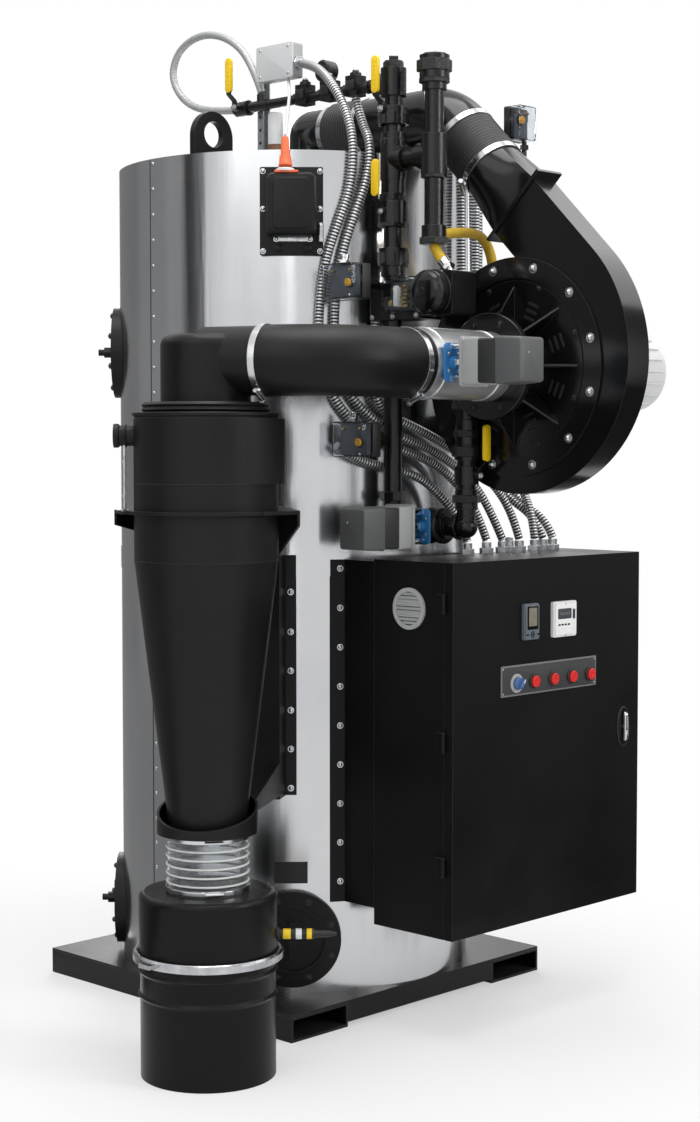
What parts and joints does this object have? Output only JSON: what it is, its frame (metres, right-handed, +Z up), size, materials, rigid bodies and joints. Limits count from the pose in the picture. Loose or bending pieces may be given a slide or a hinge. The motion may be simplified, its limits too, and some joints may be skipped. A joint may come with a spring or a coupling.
{
  "type": "industrial boiler",
  "caption": "Vertical gas-fired boiler on a fork-pocket skid, with steel jacket, side fan, cyclone dust separator with drum, gas train and hinged control panel",
  "frame": {"origin": "on the boiler's vertical axis at floor level", "axes": "+Z up, the panel door faces -Y, the cyclone stands at -X -Y"},
  "size_m": [1.499, 1.63, 2.6216],
  "materials": {
    "steel_jacket": "brushed stainless",
    "black_paint": "satin black powder coat",
    "black_gloss": "gloss black paint",
    "black_iron": "painted black iron",
    "zinc": "zinc plated",
    "grey_metal": "grey enamel",
    "rubber": "matt rubber",
    "grey_plastic": "moulded plastic",
    "clear_plastic": "clear",
    "yellow": "yellow hose",
    "insulation": "covered by the jacket"
  },
  "bodies": {
    "boiler": {"band_clamps": "zinc", "braided_pilot_hose": "zinc", "burner_elbow": "grey_metal", "clear_hose": "clear_plastic", "conduit_fittings": "zinc", "conduits": "zinc", "cyclone_body": "black_paint", "cyclone_cap": "black_paint", "cyclone_support": "black_paint", "damper_actuator": "grey_metal", "damper_duct": "grey_metal", "drum": "black_paint", "drum_hood": "black_paint", "drum_ring": "zinc", "fan_bracket": "black_paint", "fan_inlet": "black_gloss", "fan_motor": "grey_metal", "fan_outlet": "black_gloss", "fan_scroll": "black_gloss", "fork_tube_left": "black_paint", "fork_tube_right": "black_paint", "gas_actuator": "grey_metal", "gas_loop": "black_iron", "gas_regulator": "black_iron", "gas_riser": "black_iron", "gas_supply": "black_iron", "gas_valve_train": "black_iron", "hand_holes": "black_paint", "ignition_box": "grey_metal", "ignition_lead": "rubber", "insulated_vessel": "insulation", "intake_hose": "rubber", "jacket_lower": "steel_jacket", "jacket_upper": "steel_jacket", "junction_box": "grey_metal", "level_sensor": "rubber", "lifting_lugs": "black_paint", "panel_body": "black_paint", "panel_brackets": "black_paint", "panel_vent": "black_paint", "pilot_line": "black_iron", "pressure_switches": "grey_plastic", "rubber_sleeves": "rubber", "sight_pipe": "grey_metal", "skid_deck": "black_paint", "top_cover": "steel_jacket", "top_duct": "black_gloss", "top_strut": "zinc", "yellow_vent_hoses": "yellow"},
    "door": {"panel_door": "black_paint", "door_displays": "grey_plastic", "switch_strip": "grey_plastic"},
    "handle": {"door_handle": "zinc"},
    "knob": {"selector_knob": "grey_plastic"},
    "main_gas_lever_body": {"main_gas_lever": "black_paint"},
    "riser_top_lever_body": {"riser_top_lever": "black_paint"},
    "pilot_gas_lever_body": {"pilot_gas_lever": "black_paint"},
    "loop_gas_lever_body": {"loop_gas_lever": "black_paint"}
  },
  "joints": [
    {"name": "panel_door_hinge", "type": "hinge", "parent": "boiler", "child": "door", "pos_m": [-0.242, -0.768, 0.73], "axis": [0, 0, -1], "range_deg": [0, 110]},
    {"name": "door_handle_turn", "type": "hinge", "parent": "door", "child": "handle", "pos_m": [0.458, -0.8, 0.727], "axis": [0, -1, 0], "range_deg": [0, 90]},
    {"name": "selector_turn", "type": "hinge", "parent": "door", "child": "knob", "pos_m": [0.006, -0.8, 0.882], "axis": [0, -1, 0], "range_deg": [-45, 45]},
    {"name": "main_gas_lever_turn", "type": "hinge", "parent": "boiler", "child": "main_gas_lever_body", "pos_m": [-0.202, -0.521, 2.067], "axis": [1, 0, 0], "range_deg": [0, 90]},
    {"name": "riser_top_lever_turn", "type": "hinge", "parent": "boiler", "child": "riser_top_lever_body", "pos_m": [-0.202, -0.521, 2.322], "axis": [1, 0, 0], "range_deg": [0, 90]},
    {"name": "pilot_gas_lever_turn", "type": "hinge", "parent": "boiler", "child": "pilot_gas_lever_body", "pos_m": [-0.19, 0.033, 2.392], "axis": [-1, 0, 0], "range_deg": [0, 90]},
    {"name": "loop_gas_lever_turn", "type": "hinge", "parent": "boiler", "child": "loop_gas_lever_body", "pos_m": [-0.049, -0.718, 1.405], "axis": [0, -1, 0], "range_deg": [0, 90]}
  ]
}
